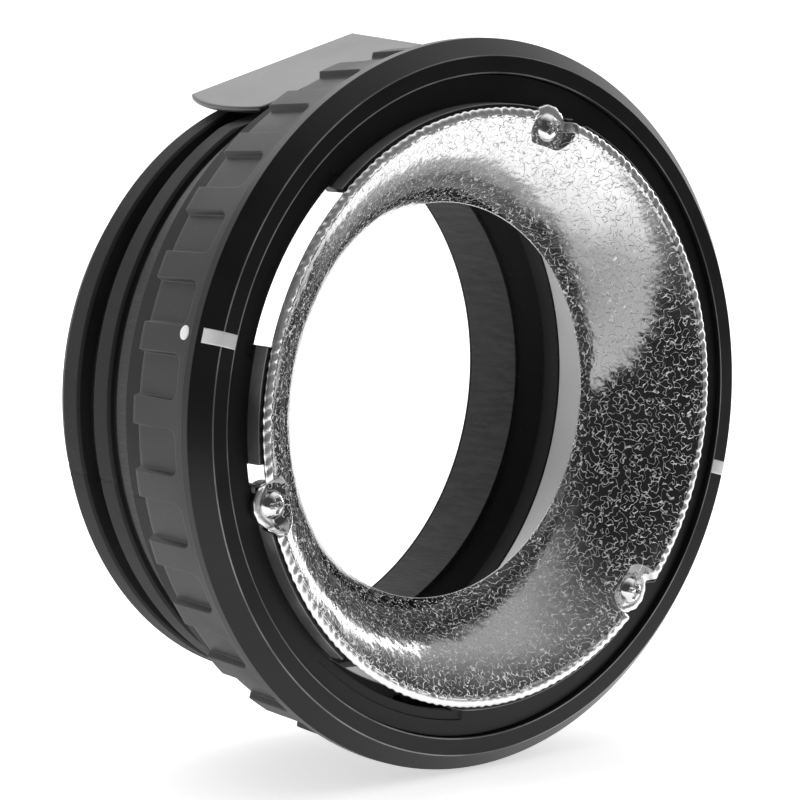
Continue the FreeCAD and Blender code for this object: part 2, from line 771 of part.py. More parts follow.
def clamp_pieces():
    """The steel band in the collar's groove, drawn tight by a bolt and a cam lever."""
    clamp = number("clamp_angle")
    half_gap = math.degrees(number("lug_gap") / 2 / number("band_radius"))
    strip = turned("band_strip", [
        ("band_groove_radius", "band_back"),
        ("band_radius", "band_back"),
        ("band_radius", "band_front"),
        ("band_groove_radius", "band_front"),
    ], angle=360 - 2 * half_gap, start=clamp + half_gap)
    lug_size = ("lug_thickness", "lug_top - lug_bottom", "band_front - band_back")
    left_lug = block("left_lug", lug_size, tangent_frame(
        clamp, -number("lug_gap") / 2 - number("lug_thickness"), number("lug_bottom"), number("band_back")))
    right_lug = block("right_lug", lug_size, tangent_frame(
        clamp, number("lug_gap") / 2, number("lug_bottom"), number("band_back")))
    along = Rotation(Vector(0, 1, 0), 90)
    bolt_height = number("bolt_height")
    line = number("bolt_line")

    def on_bolt(across):
        return tangent_frame(clamp, across, line, bolt_height) * Placement(Vector(0, 0, 0), along)

    hole = rod("lug_hole", "lug_hole_radius", "front_plane", on_bolt(-number("front_plane") / 2))
    cut("clamp_band", fused("band_with_lugs", [strip, left_lug, right_lug]), [hole])
    lug_face = -number("lug_gap") / 2 - number("lug_thickness")
    saddle_face = lug_face - number("saddle_thickness")
    pivot = lug_face - number("cam_to_lug")
    saddle_block = block("saddle_block", ("saddle_thickness", "lug_top - lug_bottom - saddle_thickness",
                                          "saddle_width"),
                         tangent_frame(clamp, saddle_face, number("lug_bottom + saddle_thickness"),
                                       bolt_height - number("saddle_width") / 2))
    cut("cam_saddle", saddle_block, [hole])
    shaft = rod("bolt_shaft", "bolt_radius", "bolt_length", on_bolt(pivot))
    upright_axis = tangent_frame(clamp, pivot, line, bolt_height - number("eye_width") / 2)
    eye = rod("bolt_eye", "eye_radius", "eye_width", upright_axis)
    eye_hole = rod("eye_hole", "pin_shaft_radius", "eye_width", upright_axis)
    cut("draw_bolt", fused("eye_and_shaft", [shaft, eye]), [eye_hole])
    outer_face = number("lug_gap") / 2 + number("lug_thickness")
    washer = rod("washer_disc", "washer_radius", "washer_thickness", on_bolt(outer_face))
    washer_hole = rod("washer_hole", "bolt_radius", "front_plane", on_bolt(-number("front_plane") / 2))
    cut("nut_washer", washer, [washer_hole])
    nut = doc.addObject("Part::Prism", "nut_hexagon")
    nut.Polygon = 6
    nut.setExpression("Circumradius", f"Dims.nut_across_flats / 2 / {math.cos(math.radians(30))}")
    nut.setExpression("Height", bound("nut_height"))
    nut.Placement = on_bolt(outer_face + number("washer_thickness"))
    cut("draw_nut", nut, [washer_hole])
    pin_start = bolt_height - number("pin_shaft_length") / 2
    pin_place = tangent_frame(clamp, pivot, line, pin_start)
    pin = rod("lever_pin", "pin_shaft_radius", "pin_shaft_length", pin_place)
    pin.Label = "lever_pin"
    clips = []
    clip_starts = (pin_start - number("clip_thickness"), pin_start + number("pin_shaft_length"))
    for index, start in enumerate(clip_starts):
        clip_place = tangent_frame(clamp, pivot, line, start)
        clips.append(rod(f"clip_{index}", "clip_radius", "clip_thickness", clip_place))
    group = doc.addObject("Part::Compound", "pin_clips")
    group.Label = "pin_clips"
    group.Links = clips
    lever_pieces(pivot)


def lever_pieces(pivot):
    """The flat lever: a metal cover on a moulded core, whose two cam cheeks straddle the bolt's eye."""
    place = tangent_frame(number("lever_angle"), number("lever_left"), number("lever_plane"),
                          number("lever_back"))
    place = place * Placement(Vector(0, 0, 0), Rotation(Vector(1, 0, 0), number("lever_tilt")))
    extruded("lever_plate", place, "XZ_Plane", [
        ("datum", "datum"),
        ("lever_length", "datum"),
        ("lever_length", "lever_width"),
        ("datum", "lever_width", "lever_end_curve", -1),
    ], "plate_thickness", reverse=True)
    core_corner = Vector(number("core_inset"), -number("core_thickness"), number("core_inset"))
    core_place = place * Placement(core_corner, Rotation())
    core = extruded("core_slab", core_place, "XZ_Plane", [
        ("datum", "datum"),
        ("lever_length - core_inset", "datum"),
        ("lever_length - core_inset", "core_width"),
        ("datum", "core_width", "lever_end_curve", -1),
    ], "core_thickness", reverse=True)
    clamp = number("clamp_angle")
    line = number("bolt_line")
    cheeks = []
    holes = []
    lower = number("bolt_height") - number("cheek_gap") / 2 - number("cheek_thickness")
    upper = number("bolt_height") + number("cheek_gap") / 2
    for index, start in enumerate((lower, upper)):
        cam_place = tangent_frame(clamp, pivot + number("cam_offset"), line, start)
        cheeks.append(rod(f"cam_disc_{index}", "cam_circle", "cheek_thickness", cam_place))
        pivot_place = tangent_frame(clamp, pivot, line, start)
        inverse = tangent_frame(number("lever_angle"), 0, 0, 0).inverse()
        centre = inverse.multVec(pivot_place.Base)
        web_place = tangent_frame(number("lever_angle"), centre.x - number("cam_circle"), centre.y, start)
        web = block(f"cheek_web_{index}", (
            "cam_circle + pin_shaft_radius", "lever_plane", "cheek_thickness"), web_place)
        web.setExpression("Width", f"Dims.lever_plane - Dims.cheek_drop - {centre.y}")
        cheeks.append(web)
        holes.append(rod(f"cheek_hole_{index}", "pin_shaft_radius + pivot_clearance", "cheek_thickness",
                         pivot_place))
    cut("lever_core", fused("core_with_cheeks", [core] + cheeks), holes)


NODES = (
    "bezel_ring", "index_bars", "bayonet_flange", "reflector", "reflector_screws", "housing", "body_tube",
    "tube_screws", "ring_screws", "retaining_ring", "thrust_washer", "detent_balls", "detent_springs",
    "grip_ring", "index_dot", "drive_pins", "lock_ring", "rubber_collar", "collar_liner", "collar_hoop",
    "clamp_band", "cam_saddle", "draw_bolt", "nut_washer", "draw_nut", "lever_pin", "pin_clips",
    "lever_plate", "lever_core",
)


def main():
    bezel_pieces()
    bayonet_flange()
    reflector()
    reflector_screws()
    housing_pieces()
    detent_pieces()
    grip_pieces()
    collar_pieces()
    clamp_pieces()
    doc.recompute()
    for item in doc.Objects:
        if "Invalid" in item.State or "Error" in item.State:
            raise RuntimeError(f"{item.Label} is {item.State}")
    os.makedirs("parts", exist_ok=True)
    for label in NODES:
        shape = doc.getObjectsByLabel(label)[0].Shape
        if shape.isNull() or not shape.isValid() or not shape.Solids:
            raise RuntimeError(f"{label} has no valid solid")
        shape.exportStep(f"parts/{label}.step")
        box = shape.BoundBox
        print(f"{label:18s} solids {len(shape.Solids)} volume {shape.Volume:9.1f} "
              f"x {box.XMin:.1f}..{box.XMax:.1f} y {box.YMin:.1f}..{box.YMax:.1f} "
              f"z {box.ZMin:.1f}..{box.ZMax:.1f}")


main()
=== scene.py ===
"""Looks of a studio flash ring adapter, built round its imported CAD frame.

Every new piece is laid out as on a lathe that stands on the ring's rear mouth. Heights run forward along the
optical axis, radii out from it, and angles anticlockwise as seen from the front, from the viewer's right.
Lengths in this script are in millimetres and angles in degrees until a mesh is made, which is in metres.
"""

import json
import math

import bmesh
import bpy
import numpy as np
from mathutils import Matrix, Vector


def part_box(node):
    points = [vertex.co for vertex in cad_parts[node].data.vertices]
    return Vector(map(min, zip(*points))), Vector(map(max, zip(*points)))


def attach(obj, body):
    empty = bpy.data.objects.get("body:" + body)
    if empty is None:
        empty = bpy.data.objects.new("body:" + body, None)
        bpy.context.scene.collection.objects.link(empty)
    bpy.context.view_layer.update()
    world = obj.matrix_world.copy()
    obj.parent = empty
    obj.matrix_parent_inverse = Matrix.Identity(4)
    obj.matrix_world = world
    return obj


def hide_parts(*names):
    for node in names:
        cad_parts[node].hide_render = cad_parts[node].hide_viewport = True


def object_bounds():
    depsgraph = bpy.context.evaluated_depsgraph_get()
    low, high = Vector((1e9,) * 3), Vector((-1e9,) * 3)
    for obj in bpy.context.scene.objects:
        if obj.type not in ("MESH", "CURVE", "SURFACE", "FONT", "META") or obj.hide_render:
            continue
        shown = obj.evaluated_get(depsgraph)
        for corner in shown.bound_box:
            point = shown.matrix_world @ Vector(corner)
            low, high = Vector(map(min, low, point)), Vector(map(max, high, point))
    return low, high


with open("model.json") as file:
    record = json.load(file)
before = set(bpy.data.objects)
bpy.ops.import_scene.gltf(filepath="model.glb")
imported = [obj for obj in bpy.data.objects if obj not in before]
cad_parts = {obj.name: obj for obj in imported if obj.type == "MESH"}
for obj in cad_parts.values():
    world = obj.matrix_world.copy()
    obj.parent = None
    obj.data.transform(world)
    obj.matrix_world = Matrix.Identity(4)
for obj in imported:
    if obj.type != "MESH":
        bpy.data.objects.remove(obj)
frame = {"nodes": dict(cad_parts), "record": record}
cad_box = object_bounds()

MM = 0.001


def forward_reach(node):
    """How far forward of the rear mouth a CAD node reaches, in millimetres."""
    return -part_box(node)[0].y / MM


def rear_reach(node):
    """How far forward of the rear mouth a CAD node's back stands, in millimetres."""
    return -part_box(node)[1].y / MM


def outer_radius(node):
    """The outside radius of a round CAD node, in millimetres."""
    low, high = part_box(node)
    return max(high.x, -low.x, high.z, -low.z) / MM


# driving dimensions, from the frame where it gives them
FRONT = forward_reach("bezel_ring")
BEZEL_RADIUS = outer_radius("bezel_ring")
BEZEL_FACE_RADIUS = BEZEL_RADIUS - 3.2
BEZEL_BORE = 62.5
CONE_FOOT = FRONT - 3.4
BEZEL_BACK = rear_reach("bezel_ring")
FLANGE_BACK = rear_reach("bayonet_flange")
LIP_TOP = forward_reach("bayonet_flange")
FLANGE_FACE = LIP_TOP - 3.1
FLANGE_RIM = outer_radius("bayonet_flange")
LIP_INNER = 55.9
LIP_OUTER = 57.1
NOTCH_RADIUS = 57.4
STEP_RADIUS = 59.3
NOTCH_CENTRES = (147.5, 245.5, 348.5)
NOTCH_WIDTH = 33.0
STEP_WIDTH = 38.0
SLIVER_WIDTH = 4.0
SLIVER_OFFSET = 6.5
SCREW_ANGLES = (74.0, 194.0, 314.0)
SCREW_CIRCLE = 54.2
SEAT_FRONT = 60.4
SEAT_MIDDLE = 60.0
SEAT_RADIUS = 4.6
BOSS_RADIUS = 4.2
BOSS_TOP = 59.55
BOSS_NEAREST = 52.5
BEAD_RADIUS = 55.42
BEAD_HEIGHT = 62.38
BEAD_WIDE = 0.95
BEAD_TALL = 0.45
RIM_EDGE = (54.6, 55.0)
DISH_APERTURE = 37.8
DISH_BACK = rear_reach("reflector")
DISH_CURVE = 32.0
GRIP_FRONT = forward_reach("grip_ring")
GRIP_BACK = rear_reach("grip_ring")
GRIP_FRONT_RADIUS = outer_radius("grip_ring")
GRIP_FLARE = 0.0757
RECESS_COUNT = 31
RECESS_ANGLE = 171.4
RECESS_FRONT = 51.2
RECESS_HALF_WIDTH = 4.05
BAR_ANGLE = 164.6
BAR_END_RADIUS = 68.45
DOT_ANGLE = 164.5
DOT_HEIGHT = 51.4
LEVER_ANGLE = 104.9
LUG_ANGLE = 62.0
EAR_ANGLE = -35.0
SEAM_ANGLE = 192.4
TUBE_BORE = 54.8
TUBE_OUTSIDE = 56.1

BODY_OF = {}
for body_name, members in frame["record"]["behaviour"]["bodies"].items():
    for member in members:
        BODY_OF[member] = body_name
SLOT_OF = {part["node"]: part["material_slot"] for part in frame["record"]["subparts"]}


# ---------------------------------------------------------------- shader helpers

def add(tree, kind, settings=None, **inputs):
    """A shader node. Each input is a value, or the output socket of another node that is linked to it."""
    made = tree.nodes.new(kind)
    for name, value in (settings or {}).items():
        setattr(made, name, value)
    for name, value in inputs.items():
        words = name.replace("_", " ")
        socket = made.inputs[int(words[1:]) if words[1:].isdigit() and words[0] == "i" else words]
        if isinstance(value, bpy.types.NodeSocket):
            tree.links.new(value, socket)
        else:
            socket.default_value = value
    return made


def math_node(tree, operation, first, second=0.0, third=0.0):
    """The output of one arithmetic node."""
    return add(tree, "ShaderNodeMath", {"operation": operation}, i0=first, i1=second, i2=third).outputs[0]


def between(tree, value, low, high, to_low=0.0, to_high=1.0):
    """A value carried smoothly from the range low..high to the range to_low..to_high."""
    made = add(tree, "ShaderNodeMapRange", {"interpolation_type": "SMOOTHSTEP"}, Value=value, From_Min=low,
               From_Max=high, To_Min=to_low, To_Max=to_high)
    return made.outputs[0]


def blended(tree, share, first, second):
    """A colour mixed from first to second by a share from 0 to 1."""
    made = tree.nodes.new("ShaderNodeMix")
    made.data_type = "RGBA"
    for index, value in ((0, share), (6, first), (7, second)):
        if isinstance(value, bpy.types.NodeSocket):
            tree.links.new(value, made.inputs[index])
        else:
            made.inputs[index].default_value = value
    return made.outputs[2]


def new_group(name, inputs, outputs):
    """A shader node group with float inputs (name, value) and float outputs, its tree and its end nodes."""
    tree = bpy.data.node_groups.new(name, "ShaderNodeTree")
    for label, value in inputs:
        socket = tree.interface.new_socket(name=label, in_out="INPUT", socket_type="NodeSocketFloat")
        socket.default_value = value
    for label in outputs:
        tree.interface.new_socket(name=label, in_out="OUTPUT", socket_type="NodeSocketFloat")
    return tree, tree.nodes.new("NodeGroupInput"), tree.nodes.new("NodeGroupOutput")


def moulded_grain_group():
    """Fine moulding grain and slow cloudiness: Height for bump, Cloud for colour and gloss."""
    tree, start, end = new_group("moulded_grain", [("Grain Scale", 2500.0), ("Cloud Scale", 60.0)],
                                 ["Height", "Cloud"])
    place = add(tree, "ShaderNodeTexCoord").outputs["Object"]
    fine = add(tree, "ShaderNodeTexNoise", Vector=place, Scale=start.outputs[0], Detail=3.0, Roughness=0.6)
    slow = add(tree, "ShaderNodeTexNoise", Vector=place, Scale=start.outputs[1], Detail=4.0, Roughness=0.55)
    tree.links.new(fine.outputs[0], end.inputs[0])
    tree.links.new(between(tree, slow.outputs[0], 0.3, 0.7), end.inputs[1])
    return tree


def handling_group():
    """Marks of use: Scratch is a mask of thin broken lines, Dust a mask of fine specks."""
    tree, start, end = new_group("handling_marks", [("Scratch Scale", 90.0), ("Dust Scale", 1400.0)],
                                 ["Scratch", "Dust"])
    place = add(tree, "ShaderNodeTexCoord").outputs["Object"]
    stretch = add(tree, "ShaderNodeMapping", Vector=place)
    stretch.inputs["Scale"].default_value = (1.0, 1.0, 9.0)
    stretch.inputs["Rotation"].default_value = (0.5, 0.3, 0.7)
    lines = add(tree, "ShaderNodeTexNoise", Vector=stretch.outputs[0], Scale=start.outputs[0], Detail=5.0)
    ridge = math_node(tree, "ABSOLUTE", math_node(tree, "SUBTRACT", lines.outputs[0], 0.5))
    scratch = between(tree, ridge, 0.0, 0.012, 1.0, 0.0)
    specks = add(tree, "ShaderNodeTexNoise", Vector=place, Scale=start.outputs[1], Detail=1.0)
    tree.links.new(scratch, end.inputs[0])
    tree.links.new(between(tree, specks.outputs[0], 0.7, 0.78), end.inputs[1])
    return tree


def worm_stipple_group():
    """Embossed reflector sheet with flat-topped worm-shaped plateaus: Height for bump, Side for their sides.

    Height is noise cut to a steep step near its middle value, and Side a mask of the noise close to that value.
    """
    tree, start, end = new_group("worm_stipple", [("Cell Scale", 900.0)], ["Height", "Side"])
    place = add(tree, "ShaderNodeTexCoord").outputs["Object"]
    cells = add(tree, "ShaderNodeTexNoise", Vector=place, Scale=start.outputs[0], Detail=0.6, Roughness=0.5,
                Distortion=0.5)
    off_line = math_node(tree, "ABSOLUTE", math_node(tree, "SUBTRACT", cells.outputs[0], 0.51))
    tree.links.new(between(tree, cells.outputs[0], 0.485, 0.535), end.inputs[0])
    tree.links.new(between(tree, off_line, 0.012, 0.034, 1.0, 0.0), end.inputs[1])
    return tree


def axis_distance_group():
    """The distance from the optical axis, in millimetres."""
    tree, _, end = new_group("axis_distance", [], ["Radius"])
    place = add(tree, "ShaderNodeTexCoord").outputs["Object"]
    across = add(tree, "ShaderNodeVectorMath", {"operation": "MULTIPLY"}, i0=place, i1=(1000.0, 0.0, 1000.0))
    length = add(tree, "ShaderNodeVectorMath", {"operation": "LENGTH"}, i0=across.outputs[0])
    tree.links.new(length.outputs["Value"], end.inputs[0])
    return tree


GRAIN = moulded_grain_group()
HANDLING = handling_group()
STIPPLE = worm_stipple_group()
AXIS_DISTANCE = axis_distance_group()


def grouped(tree, group, **values):
    """The outputs of a group placed in a tree, with its inputs set to these values."""
    made = tree.nodes.new("ShaderNodeGroup")
    made.node_tree = group
    for name, value in values.items():
        made.inputs[name.replace("_", " ")].default_value = value
    return made.outputs


def new_material(name):
    """A material, its tree and its Principled shader."""
    material = bpy.data.materials.new(name)
    material.use_nodes = True
    return material, material.node_tree, material.node_tree.nodes["Principled BSDF"]


def grey(value, tint=0.0):
    """A grey, or one made bluer by a positive tint and yellower by a negative one."""
    return (value * (1.0 - tint), value, value * (1.0 + tint), 1.0)


def moulding(name, dark, light, gloss, grain_scale, grain_depth, dust=0.0, scratch=0.0, specular=0.5,
             painted_highlight_radii=()):
    """Plastic, rubber or paint: cloudy colour and gloss, dust, scratches and a fine grain.

    Edges that carry a painted highlight, a pale line standing in for light caught on them, are given as radii
    in millimetres.
    """
    material, tree, shader = new_material(name)
    grain = grouped(tree, GRAIN, Grain_Scale=grain_scale, Cloud_Scale=60.0)
    marks = grouped(tree, HANDLING)
    base = blended(tree, grain["Cloud"], dark, light)
    dusty = blended(tree, math_node(tree, "MULTIPLY", marks["Dust"], dust), base, grey(0.35))
    scratches_and_highlights = blended(tree, math_node(tree, "MULTIPLY", marks["Scratch"], scratch), dusty, grey(0.3))
    # painted highlight: a pale line along each given radius, broken up by the cloudiness, stands in for light
    # caught on that edge
    for edge in painted_highlight_radii:
        off_edge = math_node(tree, "ABSOLUTE", math_node(
            tree, "SUBTRACT", grouped(tree, AXIS_DISTANCE)["Radius"], edge))
        painted_edge_highlight = math_node(tree, "MULTIPLY", between(tree, off_edge, 0.05, 0.16, 1.0, 0.0),
                           between(tree, grain["Cloud"], 0.0, 1.0, 0.35, 0.9))
        scratches_and_highlights = blended(tree, painted_edge_highlight, scratches_and_highlights, grey(0.42))
    tree.links.new(scratches_and_highlights, shader.inputs["Base Color"])
    tree.links.new(between(tree, grain["Cloud"], 0.0, 1.0, gloss[0], gloss[1]), shader.inputs["Roughness"])
    shader.inputs["Specular IOR Level"].default_value = specular
    bump = add(tree, "ShaderNodeBump", Height=grain["Height"], Distance=grain_depth * MM, Strength=1.0)
    tree.links.new(bump.outputs[0], shader.inputs["Normal"])
    return material


def stippled_sheet(name):
    """Bright embossed aluminium: smooth flats, dull steep sides round the plateaus, and a dull plain rim.

    The flats carry painted shade: brightest at the top of the dish and darker lower down, dimming its
    reflections.
    """
    material, tree, shader = new_material(name)
    cells = grouped(tree, STIPPLE, Cell_Scale=900.0)
    grain = grouped(tree, GRAIN, Grain_Scale=170.0, Cloud_Scale=90.0)
    on_rim = between(tree, grouped(tree, AXIS_DISTANCE)["Radius"], *RIM_EDGE)
    inside = math_node(tree, "SUBTRACT", 1.0, on_rim)
    side = math_node(tree, "MULTIPLY", cells["Side"], inside)
    pale = math_node(tree, "MAXIMUM", side, on_rim)
    place = add(tree, "ShaderNodeTexCoord").outputs["Object"]
    rise = add(tree, "ShaderNodeSeparateXYZ", Vector=place).outputs["Z"]
    # painted shade: the flats' colour darkens lower down the dish, with a ragged boundary from the cloudiness
    unsteady = math_node(tree, "ADD", rise, math_node(tree, "MULTIPLY", grain["Cloud"], 0.006))
    flats_with_painted_shade = blended(tree, between(tree, unsteady, 0.026, 0.044), grey(0.3), grey(0.72))
    tree.links.new(blended(tree, pale, flats_with_painted_shade, grey(0.98)), shader.inputs["Base Color"])
    shader.inputs["Metallic"].default_value = 1.0
    flat_gloss = between(tree, grain["Cloud"], 0.0, 1.0, 0.11, 0.18)
    gloss = math_node(tree, "MAXIMUM", flat_gloss, math_node(tree, "MULTIPLY", side, 0.6))
    tree.links.new(math_node(tree, "MAXIMUM", gloss, math_node(tree, "MULTIPLY", on_rim, 0.32)),
                   shader.inputs["Roughness"])
    dents = add(tree, "ShaderNodeBump", Height=grain["Height"], Distance=0.2 * MM, Strength=1.0)
    bump = add(tree, "ShaderNodeBump", Height=math_node(tree, "MULTIPLY", cells["Height"], inside),
               Distance=0.24 * MM, Strength=1.0, Normal=dents.outputs[0])
    tree.links.new(bump.outputs[0], shader.inputs["Normal"])
    return material


def tube_metal(name):
    """Bare satin metal in the bore, and a near-black, non-metallic colour on everything outside it."""
    material = drawn_metal(name, grey(0.34), grey(0.46), (0.42, 0.55), 700.0, (1.0, 6.0, 1.0))
    tree = material.node_tree
    shader = tree.nodes["Principled BSDF"]
    outside_bore = between(tree, grouped(tree, AXIS_DISTANCE)["Radius"], TUBE_BORE + 0.1, TUBE_BORE + 0.3)
    bare = shader.inputs["Base Color"].links[0].from_socket
    tree.links.new(blended(tree, outside_bore, bare, grey(0.012)), shader.inputs["Base Color"])
    tree.links.new(math_node(tree, "SUBTRACT", 1.0, outside_bore), shader.inputs["Metallic"])
    return material


def fibrous_lining(name):
    """Black lining with short fibres that run along the optical axis."""
    material, tree, shader = new_material(name)
    place = add(tree, "ShaderNodeTexCoord").outputs["Object"]
    along = add(tree, "ShaderNodeMapping", Vector=place)
    along.inputs["Scale"].default_value = (1.0, 0.16, 1.0)
    fibres = add(tree, "ShaderNodeTexNoise", Vector=along.outputs[0], Scale=900.0, Detail=4.0, Roughness=0.7)
    patches = add(tree, "ShaderNodeTexNoise", Vector=place, Scale=70.0, Detail=3.0)
    streaks = between(tree, fibres.outputs[0], 0.35, 0.7)
    base = blended(tree, streaks, grey(0.010), grey(0.03))
    lit = blended(tree, between(tree, patches.outputs[0], 0.35, 0.75, 0.0, 0.5), base, grey(0.03))
    tree.links.new(lit, shader.inputs["Base Color"])
    shader.inputs["Roughness"].default_value = 0.85
    shader.inputs["Sheen Weight"].default_value = 0.15
    bump = add(tree, "ShaderNodeBump", Height=fibres.outputs[0], Distance=0.2 * MM, Strength=1.0)
    tree.links.new(bump.outputs[0], shader.inputs["Normal"])
    return material


def drawn_metal(name, dark, light, gloss, line_scale, direction):
    """Anodised or plated metal with fine lines drawn along one direction."""
    material, tree, shader = new_material(name)
    place = add(tree, "ShaderNodeTexCoord").outputs["Object"]
    stretched = add(tree, "ShaderNodeMapping", Vector=place)
    stretched.inputs["Scale"].default_value = direction
    lines = add(tree, "ShaderNodeTexNoise", Vector=stretched.outputs[0], Scale=line_scale, Detail=4.0,
                Roughness=0.65)
    cloud = grouped(tree, GRAIN, Grain_Scale=2200.0, Cloud_Scale=45.0)["Cloud"]
    share = math_node(tree, "ADD", math_node(tree, "MULTIPLY", lines.outputs[0], 0.6),
                      math_node(tree, "MULTIPLY", cloud, 0.4))
    tree.links.new(blended(tree, share, dark, light), shader.inputs["Base Color"])
    tree.links.new(between(tree, share, 0.2, 0.8, gloss[0], gloss[1]), shader.inputs["Roughness"])
    shader.inputs["Metallic"].default_value = 1.0
    bump = add(tree, "ShaderNodeBump", Height=lines.outputs[0], Distance=0.02 * MM, Strength=0.6)
    tree.links.new(bump.outputs[0], shader.inputs["Normal"])
    return material


MATERIALS = {
    # bezel_black and flange_black carry painted highlights along the edge radii they list
    "bezel_black": moulding("bezel_black", grey(0.013), grey(0.017), (0.3, 0.36), 2600, 0.005, specular=0.28,
                            painted_highlight_radii=(62.74, 65.9)),
    "index_white": moulding("index_white", grey(0.95), grey(0.99), (0.45, 0.55), 2600, 0.01),
    "flange_black": moulding("flange_black", grey(0.012), grey(0.016), (0.34, 0.4), 3000, 0.006, specular=0.28,
                             painted_highlight_radii=(57.0,)),
    "dish_bright": stippled_sheet("dish_bright"),
    "screw_bright": drawn_metal("screw_bright", grey(0.7), grey(0.86), (0.12, 0.22), 900.0, (1.0, 1.0, 1.0)),
    "screw_zinc": drawn_metal("screw_zinc", grey(0.45), grey(0.62), (0.25, 0.4), 900.0, (1.0, 1.0, 1.0)),
    "housing_black": moulding("housing_black", grey(0.008), grey(0.013), (0.5, 0.65), 2200, 0.02, specular=0.3),
    "tube_grey": tube_metal("tube_grey"),
    "steel_plain": drawn_metal("steel_plain", grey(0.4), grey(0.58), (0.25, 0.4), 800.0, (1.0, 5.0, 1.0)),
    "washer_nylon": moulding("washer_nylon", grey(0.7, -0.03), grey(0.78, -0.03), (0.4, 0.5), 1500, 0.01),
    "grip_black": moulding("grip_black", grey(0.020), grey(0.026), (0.46, 0.54), 2400, 0.02, dust=0.06,
                           specular=0.4),
    "collar_rubber": moulding("collar_rubber", grey(0.019), grey(0.027), (0.66, 0.78), 1900, 0.045, dust=0.06,
                              specular=0.3),
    "liner_felt": fibrous_lining("liner_felt"),
    "band_black": moulding("band_black", grey(0.01), grey(0.015), (0.4, 0.5), 2600, 0.01, scratch=0.1),
    "lever_grey": drawn_metal("lever_grey", grey(0.12), grey(0.17), (0.4, 0.5), 500.0, (1.0, 8.0, 1.0)),
    "lever_black": moulding("lever_black", grey(0.012), grey(0.02), (0.45, 0.6), 2200, 0.02, specular=0.3),
}


# ---------------------------------------------------------------- mesh helpers

def lathe(radius, angle, height):
    """Points at a radius, an angle and a height forward of the rear mouth, as an array in metres."""
    radius, angle, height = np.broadcast_arrays(radius, np.radians(angle), height)
    return np.stack([radius * np.cos(angle), -height, radius * np.sin(angle)], axis=-1) * MM


def tangent(angle, across, outward, height):
    """Points on a tangent frame at an angle, as an array in metres.

    They are laid out clockwise along the tangent, outward from the optical axis, and forward.
    """
    turn = math.radians(angle)
    across, outward, height = np.broadcast_arrays(across, outward, height)
    return np.stack([
        outward * math.cos(turn) + across * math.sin(turn),
        -height,
        outward * math.sin(turn) - across * math.cos(turn),
    ], axis=-1) * MM


def piece(name, points, closed_down, closed_round, node, caps=False):
    """A mesh on a grid of points whose first index runs along an outline and second carries it round or along.

    With caps the first and last outline are filled in. Points that coincide are welded, so a pole closes.
    The piece stands for a CAD node, and takes its material slot and its body.
    """
    rows, columns = points.shape[:2]
    index = np.arange(rows * columns).reshape(rows, columns)
    down = index if closed_down else index[:-1]
    below = np.roll(index, -1, axis=0) if closed_down else index[1:]
    if not closed_round:
        down, below = down[:, :-1], below[:, :-1]
    right = np.roll(index, -1, axis=1)
    right_down = right if closed_down else right[:-1]
    right_below = np.roll(right, -1, axis=0) if closed_down else right[1:]
    if not closed_round:
        right_down, right_below = right_down[:, :-1], right_below[:, :-1]
    quads = np.stack([down, right_down, right_below, below], axis=-1).reshape(-1, 4)
    faces = quads.tolist()
    if caps:
        faces += [index[:, 0].tolist(), index[::-1, -1].tolist()]
    mesh = bpy.data.meshes.new(name)
    mesh.from_pydata(points.reshape(-1, 3).tolist(), [], faces)
    work = bmesh.new()
    work.from_mesh(mesh)
    bmesh.ops.remove_doubles(work, verts=work.verts, dist=1e-7)
    if caps:
        bmesh.ops.recalc_face_normals(work, faces=work.faces)
    work.to_mesh(mesh)
    work.free()
    mesh.shade_smooth()
    made = bpy.data.objects.new(name, mesh)
    bpy.context.scene.collection.objects.link(made)
    made.data.materials.append(MATERIALS[SLOT_OF[node]])
    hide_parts(node)
    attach(made, BODY_OF[node])
    return made


def rounded(corners, radius, steps=4):
    """A closed outline with each corner bent round.

    Each corner is swapped for a curve that leaves it by a trim length along both edges, and a point a little
    further out on each edge keeps the flats flat under smooth shading. The result runs anticlockwise.
    """
    corner = np.array(corners, float)
    ahead = np.roll(corner, -1, axis=0)
    if np.sum(corner[:, 0] * ahead[:, 1] - ahead[:, 0] * corner[:, 1]) < 0:
        corner = corner[::-1]
        radius = np.broadcast_to(radius, len(corner))[::-1]
    behind = np.roll(corner, 1, axis=0) - corner
    ahead = np.roll(corner, -1, axis=0) - corner
    behind_length = np.linalg.norm(behind, axis=1)
    ahead_length = np.linalg.norm(ahead, axis=1)
    behind /= behind_length[:, None]
    ahead /= ahead_length[:, None]
    half = np.arccos(np.clip(np.sum(behind * ahead, axis=1), -0.9999, 0.9999)) / 2
    trim = np.minimum(radius / np.tan(half), 0.3 * np.minimum(behind_length, ahead_length))
    share = np.linspace(0, 1, steps + 1)
    guard = 1.6
    to_behind = np.concatenate([[guard], (1 - share) ** 2, [0]])
    to_ahead = np.concatenate([[0], share ** 2, [guard]])
    offsets = to_behind[:, None] * behind[:, None, :] + to_ahead[:, None] * ahead[:, None, :]
    return (corner[:, None, :] + trim[:, None, None] * offsets).reshape(-1, 2)


def turned(name, node, outline, columns=360):
    """A full ring: a closed (r, z) outline carried round the optical axis."""
    angle = np.linspace(0, 360, columns, endpoint=False)
    points = lathe(outline[:, :1], angle[None, :], outline[:, 1:])
    piece(name, points, True, True, node)


def ease(value, low, high):
    """A smooth step from 0 at low to 1 at high."""
    share = np.clip((value - low) / (high - low), 0, 1)
    return share * share * (3 - 2 * share)


def angle_off(angle, centre):
    """The signed difference between angles, from -180 to 180."""
    return (angle - centre + 180) % 360 - 180


# ---------------------------------------------------------------- front: bezel, bars, flange

